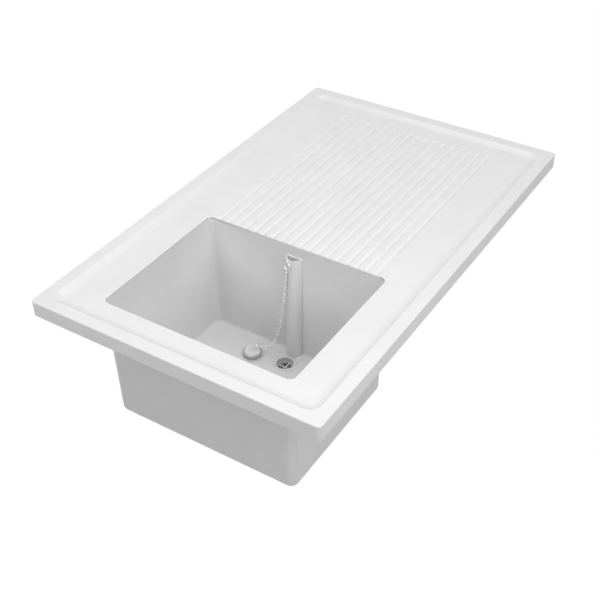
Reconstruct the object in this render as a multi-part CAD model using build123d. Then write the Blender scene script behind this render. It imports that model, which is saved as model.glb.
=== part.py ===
from build123d import *
import math
import os

os.makedirs("parts", exist_ok=True)

# All sizes are in millimetres. X runs along the unit with the bowl at the low end, Y runs from
# the front to the back, and Z is up from the plane that the skirt rests on.

# How far a cutter reaches past the face that it cuts, and how near counts as the same place
over = 1.0
snap = 0.01

# Moulded top
unit_length = 1210.0
unit_depth = 750.0
skirt_height = 38.5
plan_corner_radius = 11.0
top_edge_radius = 3.0
top_sheet = 5.0
rim_width = 30.0
slope_run = 15.0
recess_depth = 8.0
recess_corner_radius = 14.0
recess_top_blend = 4.0
recess_foot_blend = 40.0
opening_edge_radius = 2.0

# Bowl
bowl_length = 400.0
deck_beside_bowl = 126.0
bowl_from_end = 92.5
bowl_offset_y = -3.7
bowl_depth = 297.0
bowl_draft = 6.0
bowl_wall = 5.0
bowl_corner_radius = 16.0
floor_radius = 10.0
fall_depth = 3.0
fall_margin = 4.0
seat_pad = 60.0
waste_boss_radius = 33.0
waste_boss_height = 5.0
flange_reach = 15.0
weld_leg = 5.0

# Drainer flutes, between flat ribs
flute_count = 18
flute_edge_gap = 30.55
flute_width = 15.0
flute_depth = 2.2
flute_shoulder_radius = 4.0
flute_run_out = 8.0
flute_end_gap = 51.0
flute_offset_y = -4.5

# Stiffening webs and fixing pads under the drainer
web_count = 3
web_thickness = 6.0
web_height = 12.0
web_first_gap = 130.0
web_last_gap = 165.0
pad_length = 60.0
pad_inset_x = 80.0
pad_weld_gap = 2.3
pilot_radius = 2.25
pilot_depth = 16.0

# Overflow
duct_radius = 21.5
duct_wall = 2.5
duct_top = -1.0
duct_bite = 1.0
foot_slot_length = 26.0
foot_slot_width = 12.0
foot_slot_from_wall = 11.5
chamber_wall = 4.0
chamber_depth = 36.0
chamber_width = 84.0
chamber_length = 88.0
chamber_radius = 18.0
chamber_past_waste = 40.0

# Waste fitting
waste_from_wall = 52.5
fit_gap = 0.3
flange_radius = 28.0
flange_thickness = 3.0
seal_thickness = 1.5
tail_bore = 19.5
tail_radius = 23.9
tail_lead = 2.0
shank_radius = 23.2
mouth_radius = 22.0
mouth_taper = 1.0
flange_edge = 0.6
mouth_depth = 14.0
grid_thickness = 4.0
grid_bar = 3.0
grid_ring = 2.0
slot_count = 6
slot_width = 8.0
slot_height = 12.0
slot_below_grid = 2.0
lower_seal_thickness = 3.0
washer_thickness = 1.5
washer_radius = 31.0
nut_height = 12.0
nut_radius = 31.0
nut_lugs = 8
nut_lug_radius = 4.0
tail_free = 34.0

# Plug, on the bowl floor beside the waste
plug_past_waste_x = -18.0
plug_past_waste_y = 87.7
plug_face_radius = 20.0
plug_lip_radius = 24.5
plug_lip_height = 3.0
plug_cap_height = 4.5
plug_body_radius = 21.0
plug_foot_radius = 19.5
plug_body_height = 8.0
plug_lip_step = 1.5
plug_lip_fall = 0.8
plug_edge = 1.0
plug_seal_depth = 1.2
plug_seal_height = 2.4
plug_seal_land = 0.6
plug_seal_stand = 0.8
plug_seal_edge = 0.7
eye_wire = 1.2
eye_width = 10.0
eye_height = 8.0
eye_bend = 2.0
eye_set_depth = 3.0
set_gap = 0.1

# Rings and chain
stay_ring_radius = 5.5
stay_wire = 0.9
chain_ring_radius = 9.0
ring_wire = 1.0
stay_angle = 75.0
stay_hole_radius = 2.2
ring_lean = 14.0
plug_ring_radius = 7.0
ring_heading = -30.0
ring_tip = 50.0
link_wire = 1.0
link_length = 16.0
link_width = 8.0
link_gap = 0.1
link_slack = 0.8
chain_sag = 10.0
wire_sides = 8
bend_steps = 4
halvings = 60
gap_samples = 8

# Sizes, levels and centres that follow from the ones above
bowl_width = unit_depth - 2 * deck_beside_bowl
flute_pitch = (bowl_width - 2 * flute_edge_gap) / (flute_count - 1)
unit_top = skirt_height
deck_top = unit_top - recess_depth
deck_under = deck_top - top_sheet
floor_level = -bowl_depth
seat_level = floor_level - fall_depth
bowl_x = -unit_length / 2 + bowl_from_end + bowl_length / 2
bowl_y = bowl_offset_y
bowl_end_x = bowl_x + bowl_length / 2
draft_slope = bowl_draft / (deck_under + bowl_depth)


def inset_at(level):
    """How far the inner wall has come in at a level, from its line at the deck."""
    return draft_slope * (deck_under - level)


def wall_x(level):
    """The drainer side's inner wall at a level."""
    return bowl_end_x - inset_at(level)


waste_x = bowl_end_x - waste_from_wall
waste_y = bowl_y
plug_x = waste_x + plug_past_waste_x
plug_y = waste_y + plug_past_waste_y
boss_under = seat_level - bowl_wall - waste_boss_height
slip_radius = tail_radius + fit_gap
chamber_under = floor_level - bowl_wall - chamber_depth
slope_angle = math.atan2(recess_depth, slope_run)
slope_shift = top_sheet * math.tan(slope_angle / 2)


def block(length, width, radius, low, high, x=0.0, y=0.0):
    """An upright block with rounded corners."""
    outline = Pos(x, y, low) * RectangleRounded(length, width, radius)
    return extrude(outline, high - low)


def tub(low_size, low_radius, low, high_size, high_radius, high, x=0.0, y=0.0):
    """A straight-sided form between two rounded rectangles."""
    lower = Pos(x, y, low) * RectangleRounded(low_size[0], low_size[1], low_radius)
    upper = Pos(x, y, high) * RectangleRounded(high_size[0], high_size[1], high_radius)
    return loft([lower, upper], ruled=True)


def post(radius, low, high, x, y):
    """An upright round bar."""
    return extrude(Pos(x, y, low) * Circle(radius), high - low)


def ring_of(outer, inner, low, high, x, y):
    """An upright washer or tube."""
    return post(outer, low, high, x, y) - post(inner, low - over, high + over, x, y)


def turned(points, x, y, low):
    """A round part from half its section, given as radius and height."""
    face = make_face(Polyline(*[(radius, 0, level) for radius, level in points], close=True))
    return Pos(x, y, low) * revolve(face, axis=Axis.Z)


def save(shape, node):
    """Writes one node and prints its volume."""
    export_step(shape, "parts/" + node + ".step")
    print(node, round(shape.volume, 1))


def recess_tub(drop, grow):
    """The recess in the top, or its underside when dropped and grown by the sheet."""
    high_inset = rim_width - grow
    low_inset = rim_width + slope_run - grow
    high_size = (unit_length - 2 * high_inset, unit_depth - 2 * high_inset)
    low_size = (unit_length - 2 * low_inset, unit_depth - 2 * low_inset)
    low_radius = recess_corner_radius + grow
    return tub(
        low_size, low_radius, deck_top - drop,
        high_size, low_radius + slope_run, unit_top - drop,
    )


def edges_at(shape, level):
    """The edges of a shape whose middles lie at a level."""
    return [edge for edge in shape.edges() if abs(edge.center().Z - level) < snap]


def inside_of_opening(edge):
    """Whether an edge lies on the bowl's opening."""
    middle = edge.center()
    return (abs(middle.X - bowl_x) < bowl_length / 2 + snap
            and abs(middle.Y - bowl_y) < bowl_width / 2 + snap)


def under_hollow():
    """The hollow under the top, which follows its sheet."""
    length = unit_length - 2 * top_sheet
    depth = unit_depth - 2 * top_sheet
    hollow = block(length, depth, plan_corner_radius - top_sheet, -over, unit_top - top_sheet)
    return hollow - recess_tub(top_sheet, slope_shift)


def flute_section():
    """One flute's section across its run: a round valley between two round shoulders."""
    steepest = 2 * math.atan2(flute_depth, flute_width / 2)
    valley_radius = flute_width / 2 / math.sin(steepest) - flute_shoulder_radius

    def shoulder(angle):
        """A point on the shoulder's arc, where its slope is at this angle."""
        across = flute_width / 2 - flute_shoulder_radius * math.sin(angle)
        return across, -flute_shoulder_radius * (1 - math.cos(angle))

    run_out = math.radians(flute_run_out)
    across, level = shoulder(run_out)
    start = (across + (over - level) / math.tan(run_out), over)
    valley = [
        (valley_radius * math.sin(angle), valley_radius * (1 - math.cos(angle)) - flute_depth)
        for angle in (steepest, steepest / 2, 0.0)
    ]
    side = Line(start, (across, level))
    bend = ThreePointArc((across, level), shoulder((run_out + steepest) / 2), valley[0])
    floor = ThreePointArc(*valley)
    top = Polyline(valley[2], (0.0, over), start)
    return make_face(side + bend + floor + top)


def drainer_flutes():
    """Cutters for the flutes, open to the bowl and round at their far ends."""
    half = Plane.XZ * flute_section()
    start = bowl_end_x - bowl_corner_radius
    stop = unit_length / 2 - rim_width - slope_run - flute_end_gap - flute_width / 2
    end = revolve(half, axis=Axis.Z)
    across = Rot(0, 0, 90) * half
    bar = extrude(across + mirror(across, about=Plane.XZ), start - stop, dir=(1, 0, 0))
    cutter = bar + end
    middle = (flute_count - 1) / 2
    return [
        Pos(stop, flute_offset_y + (number - middle) * flute_pitch, deck_top) * cutter
        for number in range(flute_count)
    ]


def drainer_top():
    """The fluted drainer, rim and skirt, cut for the bowl."""
    top = block(unit_length, unit_depth, plan_corner_radius, 0.0, unit_top)
    top = fillet(top.edges().group_by(Axis.Z)[-1], top_edge_radius)
    top -= recess_tub(0.0, 0.0)
    inner_edge = [
        edge for edge in top.edges().group_by(Axis.Z)[-1]
        if abs(edge.center().X) < unit_length / 2 - rim_width / 2
        and abs(edge.center().Y) < unit_depth / 2 - rim_width / 2
    ]
    top = fillet(inner_edge, recess_top_blend)
    top = fillet(edges_at(top, deck_top), recess_foot_blend)
    top -= under_hollow()
    top -= block(
        bowl_length, bowl_width, bowl_corner_radius, deck_under - over, unit_top + over,
        bowl_x, bowl_y,
    )
    top = fillet(
        [edge for edge in edges_at(top, deck_top) if inside_of_opening(edge)], opening_edge_radius
    )
    for flute in drainer_flutes():
        top -= flute
    return top


def bowl_form(offset, level, radius):
    """The bowl's drafted form, grown by an offset, down to a level."""
    length = bowl_length + 2 * offset
    width = bowl_width + 2 * offset
    inset = 2 * inset_at(level)
    corner = bowl_corner_radius + offset
    form = tub(
        (length - inset, width - inset), corner, level,
        (length, width), corner, deck_under, bowl_x, bowl_y,
    )
    return fillet(form.edges().group_by(Axis.Z)[0], radius)


def floor_fall(drop):
    """The shallow fall in the floor towards the waste."""
    margin = inset_at(floor_level) + floor_radius + fall_margin
    outline = Pos(bowl_x, bowl_y, floor_level - drop) * Rectangle(
        bowl_length - 2 * margin, bowl_width - 2 * margin
    )
    centre = Pos(waste_x, waste_y, seat_level - drop) * Rectangle(seat_pad, seat_pad)
    return loft([centre, outline], ruled=True)


def bowl_inside():
    """The space inside the bowl."""
    return bowl_form(0.0, floor_level, floor_radius) + floor_fall(0.0)


def bowl_outside():
    """The bowl's outer form without its flange."""
    outside = bowl_form(bowl_wall, floor_level - bowl_wall, floor_radius + bowl_wall)
    outside += floor_fall(bowl_wall)
    return outside + post(waste_boss_radius, boss_under, seat_level - over, waste_x, waste_y)


def foot_slot(low, high):
    """The slot in the floor inside the duct's foot."""
    x = wall_x(floor_level) - foot_slot_from_wall
    outline = Pos(x, bowl_y, low) * Rot(0, 0, 90) * SlotOverall(foot_slot_length, foot_slot_width)
    return extrude(outline, high - low)


def flange_outline(reach, low, high):
    """A block round the bowl that reaches past its wall."""
    grow = 2 * (bowl_wall + reach)
    corner = bowl_corner_radius + bowl_wall + reach
    return block(bowl_length + grow, bowl_width + grow, corner, low, high, bowl_x, bowl_y)


def bowl(inside, outside):
    """The bowl with its welding flange, waste boss and holes."""
    shell = outside + flange_outline(flange_reach, deck_under - bowl_wall, deck_under)
    shell -= inside
    recess = flange_thickness + seal_thickness
    shell -= post(flange_radius + fit_gap, seat_level - recess, seat_level + over, waste_x, waste_y)
    shell -= post(slip_radius, boss_under - over, seat_level, waste_x, waste_y)
    return shell - foot_slot(boss_under - over, floor_level + floor_radius)


def bowl_weld():
    """The weld bead between the bowl's flange and the underside of the top."""
    low = deck_under - weld_leg
    grow = 2 * (bowl_wall + flange_reach)
    size = (bowl_length + grow, bowl_width + grow)
    corner = bowl_corner_radius + bowl_wall + flange_reach
    wide = (size[0] + 2 * weld_leg, size[1] + 2 * weld_leg)
    bead = tub(size, corner, low, wide, corner + weld_leg, deck_under, bowl_x, bowl_y)
    return bead - flange_outline(flange_reach, low - over, deck_under + over)


def duct_face(radius, back):
    """Half a circle whose flat back stands a little off the wall's line."""
    half = Pos(-back - radius, 0) * Rectangle(2 * radius, 4 * radius)
    return Circle(radius) & half


def duct_axis(level):
    """The centre of the duct's half circle at a level."""
    return Vector(wall_x(level), bowl_y, level)


def stay_point(radius, level):
    """A point at the stay's angle round the duct."""
    turn = math.radians(stay_angle)
    return duct_axis(level) + Vector(-radius * math.sin(turn), radius * math.cos(turn), 0)


def overflow_duct(inside):
    """The half-round overflow duct, welded up the wall, with its hole for the stay ring."""
    low = seat_level - bowl_wall
    direction = Vector(draft_slope, 0, 1)
    length = (duct_top - low) * direction.length
    start = Pos(wall_x(low), bowl_y, low)
    outer = duct_face(duct_radius, -duct_bite)
    inner = duct_face(duct_radius - duct_wall, duct_wall)
    duct = extrude(start * outer, length, dir=direction) - extrude(
        start * inner, length + over, dir=direction
    )
    duct &= inside & Pos(bowl_x, bowl_y, duct_top - bowl_depth) * Box(
        bowl_length, bowl_width, 2 * bowl_depth
    )
    hole_at = stay_point(duct_radius - duct_wall / 2, stay_hole_level)
    aim = Plane(origin=hole_at, z_dir=stay_out)
    hole = extrude(aim * Circle(stay_hole_radius), 2 * duct_wall, both=True)
    return duct - hole


def overflow_chamber(outside):
    """The tray under the floor that leads the overflow to the slotted waste."""
    high = floor_level + floor_radius
    right = waste_x - chamber_past_waste + chamber_length
    x = right - chamber_length / 2
    tray = block(chamber_length, chamber_width, chamber_radius, chamber_under, high, x, waste_y)
    tray -= block(
        chamber_length - 2 * chamber_wall, chamber_width - 2 * chamber_wall,
        chamber_radius - chamber_wall, chamber_under + chamber_wall, high + over, x, waste_y,
    )
    tray -= outside
    floor_top = chamber_under + chamber_wall
    tray -= post(slip_radius, chamber_under - over, floor_top + over, waste_x, waste_y)
    return max(tray.solids(), key=lambda piece: piece.volume)


def waste_levels():
    """The levels down the waste fitting, from the flange to the tail's end."""
    seal_top = chamber_under
    washer_top = seal_top - lower_seal_thickness
    nut_top = washer_top - washer_thickness
    nut_low = nut_top - nut_height
    return seal_top, washer_top, nut_top, nut_low, nut_low - tail_free


def waste_body():
    """The flanged waste: plug seat, ledge for the grid, slotted shank and threaded tail.

    The tail has its thread's outer radius, and the shank inside the backnut its pitch radius.
    """
    nut_low, tail_low = waste_levels()[3:]
    flange_low = seat_level - flange_thickness
    ledge = seat_level - mouth_depth - grid_thickness
    outline = [
        (tail_bore, tail_low),
        (tail_radius, tail_low),
        (tail_radius, nut_low - tail_lead),
        (shank_radius, nut_low - tail_lead + tail_radius - shank_radius),
        (shank_radius, flange_low),
        (flange_radius, flange_low),
        (flange_radius, seat_level - flange_edge),
        (flange_radius - flange_edge, seat_level),
        (mouth_radius, seat_level),
        (mouth_radius - mouth_taper, ledge),
        (tail_bore, ledge),
    ]
    body = turned(outline, waste_x, waste_y, 0.0)
    slot_top = ledge - slot_below_grid
    for number in range(slot_count):
        turn = (number + 0.5) * 360 / slot_count
        cutter = Pos(tail_radius, 0, slot_top - slot_height / 2) * Box(
            tail_radius, slot_width, slot_height
        )
        body -= Pos(waste_x, waste_y, 0) * Rot(0, 0, turn) * cutter
    return body


def waste_grid():
    """The cross-bar grid, dropped on the ledge in the waste's mouth."""
    low = seat_level - mouth_depth - grid_thickness
    high = low + grid_thickness
    outer = mouth_radius - mouth_taper - set_gap
    grid = ring_of(outer, outer - grid_ring, low, high, waste_x, waste_y)
    across = 2 * (outer - grid_ring / 2)
    middle = (low + high) / 2
    grid += Pos(waste_x, waste_y, middle) * Box(across, grid_bar, grid_thickness)
    grid += Pos(waste_x, waste_y, middle) * Box(grid_bar, across, grid_thickness)
    return grid


def backnut():
    """The lobed backnut on the tail."""
    nut_top, nut_low = waste_levels()[2:4]
    nut = post(nut_radius, nut_low, nut_top, waste_x, waste_y)
    for number in range(nut_lugs):
        turn = math.radians(number * 360 / nut_lugs)
        x = waste_x + nut_radius * math.cos(turn)
        y = waste_y + nut_radius * math.sin(turn)
        nut += post(nut_lug_radius, nut_low, nut_top, x, y)
    return nut - post(shank_radius + set_gap, nut_low - over, nut_top + over, waste_x, waste_y)


def web_cutter(x):
    """The block that one stiffening web is cut from."""
    high = unit_top - top_sheet
    low = deck_under - web_height
    return Pos(x, 0, (low + high) / 2) * Box(web_thickness, unit_depth, high - low)


def cross_webs(hollow):
    """Webs across the underside of the drainer, from skirt to skirt."""
    first = bowl_end_x + web_first_gap
    last = unit_length / 2 - web_last_gap
    step = (last - first) / (web_count - 1)
    return [hollow & web_cutter(first + number * step) for number in range(web_count)]


def fixing_pads():
    """Pads welded under the deck's corners, between the bowl's weld and the foot of the slope."""
    weld_edge = bowl_width / 2 + bowl_wall + flange_reach + weld_leg
    near = abs(bowl_offset_y) + weld_edge + pad_weld_gap
    far = unit_depth / 2 - rim_width - slope_run
    pads = []
    for side_x in (-1, 1):
        for side_y in (-1, 1):
            x = side_x * (unit_length / 2 - pad_inset_x)
            y = side_y * (near + far) / 2
            pad = Pos(x, y, deck_under / 2) * Box(pad_length, far - near, deck_under)
            pads.append(pad - post(pilot_radius, -over, pilot_depth, x, y))
    return pads


def floor_at(x, y):
    """The floor's level at a point: the highest of the four falls there."""
    margin = inset_at(floor_level) + floor_radius + fall_margin
    half_x = bowl_length / 2 - margin
    half_y = bowl_width / 2 - margin
    half = seat_pad / 2
    shares = [
        (x - waste_x - half) / (bowl_x + half_x - waste_x - half),
        (waste_x - x - half) / (waste_x - bowl_x + half_x - half),
        (y - waste_y - half) / (bowl_y + half_y - waste_y - half),
        (waste_y - y - half) / (waste_y - bowl_y + half_y - half),
    ]
    return seat_level + fall_depth * min(max(0.0, *shares), 1.0)


up = Vector(0, 0, 1)
plug_rest = fit_gap + max(
    floor_at(plug_x + plug_foot_radius, plug_y), floor_at(plug_x - plug_foot_radius, plug_y),
    floor_at(plug_x, plug_y + plug_foot_radius), floor_at(plug_x, plug_y - plug_foot_radius),
)
plug_face = plug_rest + plug_body_height + plug_lip_height + plug_cap_height
plug_centre = Vector(plug_x, plug_y, plug_face)
heading = Vector(math.cos(math.radians(ring_heading)), math.sin(math.radians(ring_heading)), 0)
sideways = up.cross(heading)

# The stay ring sits over the duct's rim and passes through its hole
stay_turn = math.radians(stay_angle)
stay_out = Vector(-math.sin(stay_turn), math.cos(stay_turn), 0)
stay_along = up.cross(stay_out)
stay_centre_level = duct_top + fit_gap - (stay_ring_radius - stay_wire)
stay_hole_level = stay_centre_level - stay_ring_radius
stay_centre = stay_point(duct_radius - duct_wall / 2, stay_centre_level)

# The chain ring hangs in the stay ring and leans out from the duct
hang_out = duct_wall / 2 + ring_wire + link_gap
hang_reach = stay_ring_radius - stay_wire - ring_wire - link_gap
hang_down = math.sqrt(hang_reach**2 - hang_out**2)
lean = math.radians(ring_lean)
ring_down = stay_out * math.sin(lean) - up * math.cos(lean)
chain_ring_centre = (
    stay_centre + stay_out * hang_out - up * hang_down + ring_down * chain_ring_radius
)
chain_ring_low = chain_ring_centre + ring_down * chain_ring_radius

# The plug's ring goes through its eye and is drawn up towards the chain
near_reach = eye_width / 2 - eye_wire - ring_wire - link_gap
near_rise = eye_height - 2 * eye_wire - ring_wire - link_gap
plug_ring_near = plug_centre + up * near_rise + heading * near_reach
tip = math.radians(ring_tip)
ring_out = heading * math.cos(tip) + up * math.sin(tip)
plug_ring_centre = plug_ring_near + ring_out * plug_ring_radius
plug_ring_far = plug_ring_near + ring_out * (2 * plug_ring_radius)

# The chain hangs as a catenary from the chain ring's lowest point to the plug ring's far point
bend_gap = link_wire + link_slack / 2
bend_span = link_length - 2 * link_wire
chain_flat = Vector(plug_ring_far.X - chain_ring_low.X, plug_ring_far.Y - chain_ring_low.Y, 0)


def hanging_curve():
    """The size of the chain's catenary, and the run from its start to its lowest point."""
    high_rise = chain_ring_low.Z - plug_ring_far.Z + chain_sag
    small = link_wire
    large = high_rise * chain_flat.length
    for _ in range(halvings):
        size = (small + large) / 2
        run = size * math.acosh(1 + high_rise / size)
        if run + size * math.acosh(1 + chain_sag / size) < chain_flat.length:
            small = size
        else:
            large = size
    return size, run


def joint_points():
    """The points where the links meet, evenly spaced, with both ends just past the rings."""
    size, run = hanging_curve()
    start = -size * math.sinh(run / size) - bend_gap
    stop = size * math.sinh((chain_flat.length - run) / size) + bend_gap
    count = math.ceil((stop - start) / (bend_span - 2 * bend_gap))
    pitch = (stop - start) / count
    low = Vector(chain_ring_low.X, chain_ring_low.Y, plug_ring_far.Z - chain_sag)
    points = []
    for number in range(count + 1):
        along = size * math.asinh((start + number * pitch) / size)
        rise = size * (math.cosh(along / size) - 1)
        points.append(low + chain_flat.normalized() * (run + along) + up * rise)
    print("chain", round(stop - start, 1), "long, pitch", round(pitch, 2))
    return points


def seal_levels():
    """The bottom and top of the plug's groove, from the plug's foot."""
    high = plug_body_height - plug_seal_land
    return high - plug_seal_height, high


def plug_body():
    """The plug's cap, lip and tapered body, with a groove for its seal."""
    low, high = seal_levels()
    groove = plug_foot_radius - plug_seal_depth
    lip_top = plug_body_height + plug_lip_height
    cap_top = lip_top + plug_cap_height
    outline = [
        (0, 0),
        (plug_foot_radius, 0),
        (plug_body_radius, low),
        (groove, low),
        (groove, high),
        (plug_body_radius, high),
        (plug_body_radius, plug_body_height),
        (plug_lip_radius, plug_body_height),
        (plug_lip_radius, lip_top),
        (plug_face_radius + plug_lip_step, lip_top + plug_lip_fall),
        (plug_face_radius, cap_top - plug_edge),
        (plug_face_radius - plug_edge, cap_top),
        (0, cap_top),
    ]
    body = turned(outline, plug_x, plug_y, plug_rest)
    for side in (-1, 1):
        foot = plug_centre + heading * (side * eye_width / 2)
        body -= post(eye_wire + set_gap, plug_face - eye_set_depth, plug_face + over, foot.X, foot.Y)
    return body


def plug_seal():
    """The rubber seal in the plug's groove."""
    low, high = seal_levels()
    groove = plug_foot_radius - plug_seal_depth
    outer = plug_body_radius + plug_seal_stand
    outline = [
        (groove, low),
        (outer - plug_seal_edge, low),
        (outer, low + plug_seal_edge),
        (outer, high - plug_seal_edge),
        (outer - plug_seal_edge, high),
        (groove, high),
    ]
    return turned(outline, plug_x, plug_y, plug_rest)


def arc_points(x, y, radius, start, stop, steps):
    """Points along an arc, with its angles in degrees."""
    points = []
    for step in range(steps + 1):
        turn = math.radians(start + (stop - start) * step / steps)
        points.append((x + radius * math.cos(turn), y + radius * math.sin(turn)))
    return points


def plug_eye():
    """The wire staple that stands in the plug's face."""
    half = eye_width / 2
    foot = set_gap - eye_set_depth
    bend_level = eye_height - eye_wire - eye_bend
    outline = [
        (half, foot),
        *arc_points(half - eye_bend, bend_level, eye_bend, 0, 90, bend_steps),
        *arc_points(eye_bend - half, bend_level, eye_bend, 90, 180, bend_steps),
        (-half, foot),
    ]
    points = [plug_centre + heading * x + up * z for x, z in outline]
    start = Plane(origin=points[0], x_dir=sideways, z_dir=up)
    section = start * RegularPolygon(eye_wire, wire_sides)
    return sweep(section, path=Polyline(*points), transition=Transition.RIGHT)


def wire_ring(radius, wire, centre, normal, x_dir):
    """A closed ring of flat-sided wire."""
    section = Plane.XZ * Pos(radius, 0) * RegularPolygon(wire, wire_sides)
    place = Plane(origin=centre, x_dir=x_dir, z_dir=normal)
    return place.location * revolve(section, axis=Axis.Z)


def link_centreline():
    """The middle line of a link, as corners in its own plane, from the middle of one side."""
    radius = link_width / 2 - link_wire
    straight = bend_span / 2 - radius
    return [
        (0.0, -radius),
        *arc_points(straight, 0.0, radius, -90, 90, bend_steps),
        *arc_points(-straight, 0.0, radius, 90, 270, bend_steps),
    ]


def chain_link():
    """One link at the origin, long along X and wide along Y."""
    section = Plane(origin=(0, -link_width / 2 + link_wire, 0), z_dir=(1, 0, 0))
    path = Polyline(*link_centreline(), close=True)
    return sweep(section * RegularPolygon(link_wire, wire_sides), path=path,
                 transition=Transition.RIGHT)


def link_places():
    """A plane for each link, turned a quarter from the one before it."""
    points = joint_points()
    axes = [(after - before).normalized() for before, after in zip(points, points[1:])]
    normals = []
    normal = stay_out
    for axis in axes:
        normal = (normal - axis * normal.dot(axis)).normalized()
        normals.append(normal)
    steps = len(axes) - 1
    wanted = sideways.cross(axes[-1])
    turn = math.degrees(math.atan2(axes[-1].dot(normal.cross(wanted)), normal.dot(wanted)))
    twist = (turn - 90 * steps + 90) % 180 - 90
    places = []
    for number, axis in enumerate(axes):
        angle = math.radians((90 + twist / steps) * number)
        wide = normals[number] * math.cos(angle) + axis.cross(normals[number]) * math.sin(angle)
        middle = (points[number] + points[number + 1]) / 2
        places.append(Plane(origin=middle, x_dir=axis, z_dir=axis.cross(wide)))
    return places


def least_link_gap(places):
    """The least gap between neighbouring links, measured on points of their middle lines."""
    corners = link_centreline()
    fine = []
    for before, after in zip(corners, corners[1:] + corners[:1]):
        for step in range(gap_samples):
            share = step / gap_samples
            fine.append(Vector(
                before[0] + (after[0] - before[0]) * share,
                before[1] + (after[1] - before[1]) * share, 0,
            ))
    lines = [[place.from_local_coords(point) for point in fine] for place in places]
    least = min(
        (a - b).length for one, two in zip(lines, lines[1:]) for a in one for b in two
    )
    return least - 2 * link_wire


def plug_chain():
    """The chain of interlocked links."""
    places = link_places()
    print("least gap between links", round(least_link_gap(places), 3))
    link = chain_link()
    return [place.location * link for place in places]


hollow = under_hollow()
inside = bowl_inside()
outside = bowl_outside()
seal_top, washer_top, nut_top, nut_low, tail_low = waste_levels()
seal_low = seat_level - flange_thickness - seal_thickness

save(drainer_top(), "drainer_top")
save(bowl(inside, outside), "bowl")
save(bowl_weld(), "bowl_weld")
save(overflow_duct(inside), "overflow_duct")
save(overflow_chamber(outside), "overflow_chamber")
save(Compound(children=cross_webs(hollow)), "cross_webs")
save(Compound(children=fixing_pads()), "fixing_pads")
save(waste_body(), "waste_body")
save(waste_grid(), "waste_grid")
save(
    ring_of(flange_radius, slip_radius, seal_low, seal_low + seal_thickness, waste_x, waste_y),
    "waste_top_seal",
)
save(ring_of(washer_radius, slip_radius, washer_top, seal_top, waste_x, waste_y), "waste_lower_seal")
save(ring_of(washer_radius, slip_radius, nut_top, washer_top, waste_x, waste_y), "waste_slip_washer")
save(backnut(), "waste_backnut")
save(plug_body(), "plug_body")
save(plug_seal(), "plug_seal")
save(plug_eye(), "plug_eye")
save(
    wire_ring(stay_ring_radius, stay_wire, stay_centre, stay_along, stay_out),
    "stay_ring",
)
save(
    wire_ring(chain_ring_radius, ring_wire, chain_ring_centre, ring_down.cross(stay_along),
              stay_along),
    "chain_ring",
)
save(
    wire_ring(plug_ring_radius, ring_wire, plug_ring_centre, ring_out.cross(sideways), ring_out),
    "plug_ring",
)
save(Compound(children=plug_chain()), "plug_chain")
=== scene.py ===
"""White polypropylene sink unit: its finish and small parts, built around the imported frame."""

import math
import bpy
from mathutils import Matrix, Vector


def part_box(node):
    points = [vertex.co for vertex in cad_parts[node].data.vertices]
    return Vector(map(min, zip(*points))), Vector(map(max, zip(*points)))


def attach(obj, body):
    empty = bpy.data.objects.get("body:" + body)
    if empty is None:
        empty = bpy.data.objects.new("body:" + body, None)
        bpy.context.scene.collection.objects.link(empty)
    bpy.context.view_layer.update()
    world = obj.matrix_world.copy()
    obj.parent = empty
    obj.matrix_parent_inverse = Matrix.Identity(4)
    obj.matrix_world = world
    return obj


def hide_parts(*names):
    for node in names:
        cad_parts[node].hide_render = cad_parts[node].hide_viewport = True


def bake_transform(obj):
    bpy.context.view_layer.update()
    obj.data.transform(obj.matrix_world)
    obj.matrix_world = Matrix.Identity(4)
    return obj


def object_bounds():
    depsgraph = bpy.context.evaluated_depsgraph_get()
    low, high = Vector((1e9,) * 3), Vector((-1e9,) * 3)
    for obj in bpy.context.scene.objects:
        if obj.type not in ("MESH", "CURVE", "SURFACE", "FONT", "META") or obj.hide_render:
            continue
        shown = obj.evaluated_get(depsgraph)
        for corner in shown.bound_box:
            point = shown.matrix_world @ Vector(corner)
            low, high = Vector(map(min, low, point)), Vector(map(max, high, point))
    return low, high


bl_info = {
    "name": "Polypropylene sink unit",
    "version": (1, 0, 0),
    "blender": (4, 5, 0),
    "location": "3D View > Sidebar > Sink Unit",
    "description": "Builds the finish and the small parts of a moulded sink unit",
    "category": "Object",
}

import bpy
import numpy as np
from bpy.props import FloatProperty, FloatVectorProperty, IntProperty, PointerProperty
from mathutils import Matrix, Vector

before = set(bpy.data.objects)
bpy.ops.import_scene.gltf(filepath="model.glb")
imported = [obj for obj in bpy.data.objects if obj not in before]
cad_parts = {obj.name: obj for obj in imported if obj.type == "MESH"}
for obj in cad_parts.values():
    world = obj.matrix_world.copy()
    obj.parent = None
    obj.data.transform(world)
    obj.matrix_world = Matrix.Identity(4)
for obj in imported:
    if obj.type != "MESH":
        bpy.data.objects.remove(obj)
cad_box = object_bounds()

MM = 0.001
UP = Vector((0, 0, 1))

# Points closer than these are one point, and faces thinner than a sliver are dissolved
SAME_POINT = 2e-6
SAME_SEAM_POINT = 4e-6
SLIVER = 1e-6

# Edges flatter than the first four are shaded smooth, and those past the last one are broken
TURNED_SMOOTH = math.radians(35)
SEAL_SMOOTH = math.radians(40)
EYE_SMOOTH = math.radians(50)
WIRE_SMOOTH = math.radians(60)
SHARP_EDGE = math.radians(40)

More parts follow.
